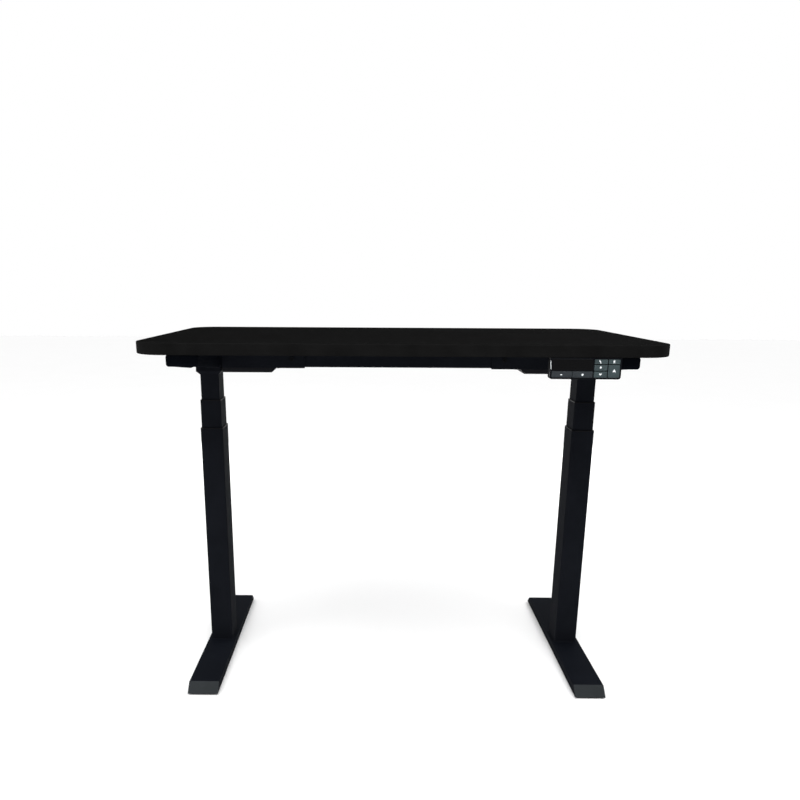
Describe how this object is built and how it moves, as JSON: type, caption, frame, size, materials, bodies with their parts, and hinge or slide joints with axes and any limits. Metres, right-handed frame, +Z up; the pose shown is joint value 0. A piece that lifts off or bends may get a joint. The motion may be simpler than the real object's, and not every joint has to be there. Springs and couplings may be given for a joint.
{
  "type": "height adjustable standing desk",
  "caption": "Rectangular black desktop with rounded corners on two motorised three-stage lifting columns with long flat feet, a crossbeam and a key handset under the front edge.",
  "frame": {"origin": "on the floor, under the middle of the tabletop", "axes": "+X to the user's right, +Y away from the user, +Z up"},
  "size_m": [1.1, 0.6, 0.808],
  "materials": {
    "black_laminate": "black melamine laminate over particle board, satin",
    "frame_paint": "fine-textured black powder coat",
    "glide_plastic": "black nylon, matt",
    "pad_rubber": "black rubber, matt",
    "bolt_steel": "black zinc",
    "plain_steel": "ground and oiled",
    "cast_head": "die cast, painted black",
    "motor_can": "semi-gloss black",
    "cover_plastic": "moulded black plastic, fine texture",
    "wheel_bronze": "machined bronze",
    "board_green": "glass fibre board",
    "cable_sheath": "black sheath",
    "panel_gloss": "gloss black",
    "display_gloss": "dark tinted display cover",
    "key_plastic": "dark grey keycap"
  },
  "bodies": {
    "base": {"left_foot": "frame_paint", "right_foot": "frame_paint", "left_outer_tube": "frame_paint", "right_outer_tube": "frame_paint", "column_base_plates": "plain_steel", "foot_bolts": "bolt_steel", "outer_glides": "glide_plastic", "screw_posts": "plain_steel"},
    "left_front_levelling_foot": {"left_front_pad": "pad_rubber"},
    "left_rear_levelling_foot": {"left_rear_pad": "pad_rubber"},
    "left_middle_stage": {"left_middle_tube": "frame_paint", "left_middle_glide": "glide_plastic", "left_middle_carrier": "plain_steel"},
    "left_hollow_spindle": {"left_hollow_screw": "plain_steel"},
    "left_upper_spindle": {"left_upper_screw": "plain_steel", "left_worm_wheel": "wheel_bronze"},
    "left_motor_rotor": {"left_worm_shaft": "plain_steel"},
    "right_front_levelling_foot": {"right_front_pad": "pad_rubber"},
    "right_rear_levelling_foot": {"right_rear_pad": "pad_rubber"},
    "right_middle_stage": {"right_middle_tube": "frame_paint", "right_middle_glide": "glide_plastic", "right_middle_carrier": "plain_steel"},
    "right_hollow_spindle": {"right_hollow_screw": "plain_steel"},
    "right_upper_spindle": {"right_upper_screw": "plain_steel", "right_worm_wheel": "wheel_bronze"},
    "right_motor_rotor": {"right_worm_shaft": "plain_steel"},
    "desktop": {"tabletop": "black_laminate", "tabletop_screws": "bolt_steel", "beam_centre": "frame_paint", "frame_bolts": "bolt_steel", "gearbox_bearings": "plain_steel", "control_box": "cover_plastic", "control_box_lid": "cover_plastic", "mains_inlet": "cover_plastic", "circuit_boards": "board_green", "handset_cable": "cable_sheath", "handset_shell": "cover_plastic", "handset_panel": "panel_gloss", "display_window": "display_gloss", "left_inner_tube": "frame_paint", "left_gearbox": "cast_head", "left_motor_case": "motor_can", "left_motor_cover": "cover_plastic", "left_bracket": "frame_paint", "left_beam_channel": "frame_paint", "left_motor_cable": "cable_sheath", "right_inner_tube": "frame_paint", "right_gearbox": "cast_head", "right_motor_case": "motor_can", "right_motor_cover": "cover_plastic", "right_bracket": "frame_paint", "right_beam_channel": "frame_paint", "right_motor_cable": "cable_sheath"},
    "memory_key_one_cap": {"memory_key_one": "key_plastic"},
    "memory_key_two_cap": {"memory_key_two": "key_plastic"},
    "memory_key_three_cap": {"memory_key_three": "key_plastic"},
    "memory_key_four_cap": {"memory_key_four": "key_plastic"},
    "set_key_cap": {"set_key": "key_plastic"},
    "down_key_cap": {"down_key": "key_plastic"},
    "up_key_cap": {"up_key": "key_plastic"}
  },
  "joints": [
    {"name": "lift", "type": "slide", "parent": "base", "child": "desktop", "axis": [0, 0, 1], "range_m": [-0.12, 0.48]},
    {"name": "left_front_pad_screw", "type": "slide", "parent": "base", "child": "left_front_levelling_foot", "axis": [0, 0, -1], "range_m": [0, 0.008]},
    {"name": "left_rear_pad_screw", "type": "slide", "parent": "base", "child": "left_rear_levelling_foot", "axis": [0, 0, -1], "range_m": [0, 0.008]},
    {"name": "left_middle_slide", "type": "slide", "parent": "base", "child": "left_middle_stage", "axis": [0, 0, 1], "range_m": [-0.061, 0.241]},
    {"name": "left_hollow_screw_turn", "type": "hinge", "parent": "left_middle_stage", "child": "left_hollow_spindle", "pos_m": [-0.449, 0, 0.3], "axis": [0, 0, 1], "range_deg": [-1810, 7210]},
    {"name": "left_upper_screw_turn", "type": "hinge", "parent": "desktop", "child": "left_upper_spindle", "pos_m": [-0.449, 0, 0.5], "axis": [0, 0, 1], "range_deg": [-1810, 7210]},
    {"name": "left_motor_turn", "type": "hinge", "parent": "desktop", "child": "left_motor_rotor", "pos_m": [-0.449, 0.017, 0.746], "axis": [1, 0, 0], "range_deg": [-21700, 86500]},
    {"name": "right_front_pad_screw", "type": "slide", "parent": "base", "child": "right_front_levelling_foot", "axis": [0, 0, -1], "range_m": [0, 0.008]},
    {"name": "right_rear_pad_screw", "type": "slide", "parent": "base", "child": "right_rear_levelling_foot", "axis": [0, 0, -1], "range_m": [0, 0.008]},
    {"name": "right_middle_slide", "type": "slide", "parent": "base", "child": "right_middle_stage", "axis": [0, 0, 1], "range_m": [-0.061, 0.241]},
    {"name": "right_hollow_screw_turn", "type": "hinge", "parent": "right_middle_stage", "child": "right_hollow_spindle", "pos_m": [0.449, 0, 0.3], "axis": [0, 0, 1], "range_deg": [-1810, 7210]},
    {"name": "right_upper_screw_turn", "type": "hinge", "parent": "desktop", "child": "right_upper_spindle", "pos_m": [0.449, 0, 0.5], "axis": [0, 0, 1], "range_deg": [-1810, 7210]},
    {"name": "right_motor_turn", "type": "hinge", "parent": "desktop", "child": "right_motor_rotor", "pos_m": [0.449, 0.017, 0.746], "axis": [1, 0, 0], "range_deg": [-21700, 86500]},
    {"name": "memory_key_one_press", "type": "slide", "parent": "desktop", "child": "memory_key_one_cap", "axis": [0, 1, 0], "range_m": [0, 0.0006], "stiffness_N_per_m": 2000, "springref_m": -0.0004},
    {"name": "memory_key_two_press", "type": "slide", "parent": "desktop", "child": "memory_key_two_cap", "axis": [0, 1, 0], "range_m": [0, 0.0006], "stiffness_N_per_m": 2000, "springref_m": -0.0004},
    {"name": "memory_key_three_press", "type": "slide", "parent": "desktop", "child": "memory_key_three_cap", "axis": [0, 1, 0], "range_m": [0, 0.0006], "stiffness_N_per_m": 2000, "springref_m": -0.0004},
    {"name": "memory_key_four_press", "type": "slide", "parent": "desktop", "child": "memory_key_four_cap", "axis": [0, 1, 0], "range_m": [0, 0.0006], "stiffness_N_per_m": 2000, "springref_m": -0.0004},
    {"name": "set_key_press", "type": "slide", "parent": "desktop", "child": "set_key_cap", "axis": [0, 1, 0], "range_m": [0, 0.0006], "stiffness_N_per_m": 2000, "springref_m": -0.0004},
    {"name": "down_key_press", "type": "slide", "parent": "desktop", "child": "down_key_cap", "axis": [0, 1, 0], "range_m": [0, 0.0006], "stiffness_N_per_m": 2000, "springref_m": -0.0004},
    {"name": "up_key_press", "type": "slide", "parent": "desktop", "child": "up_key_cap", "axis": [0, 1, 0], "range_m": [0, 0.0006], "stiffness_N_per_m": 2000, "springref_m": -0.0004}
  ],
  "couplings": [
    {"joint": "left_middle_slide", "follows": "lift", "ratio": 0.5},
    {"joint": "left_hollow_screw_turn", "follows": "lift", "rad_per_m": 261.8},
    {"joint": "left_upper_screw_turn", "follows": "lift", "rad_per_m": 261.8},
    {"joint": "left_motor_turn", "follows": "lift", "rad_per_m": 3141.6},
    {"joint": "right_middle_slide", "follows": "lift", "ratio": 0.5},
    {"joint": "right_hollow_screw_turn", "follows": "lift", "rad_per_m": 261.8},
    {"joint": "right_upper_screw_turn", "follows": "lift", "rad_per_m": 261.8},
    {"joint": "right_motor_turn", "follows": "lift", "rad_per_m": 3141.6}
  ]
}
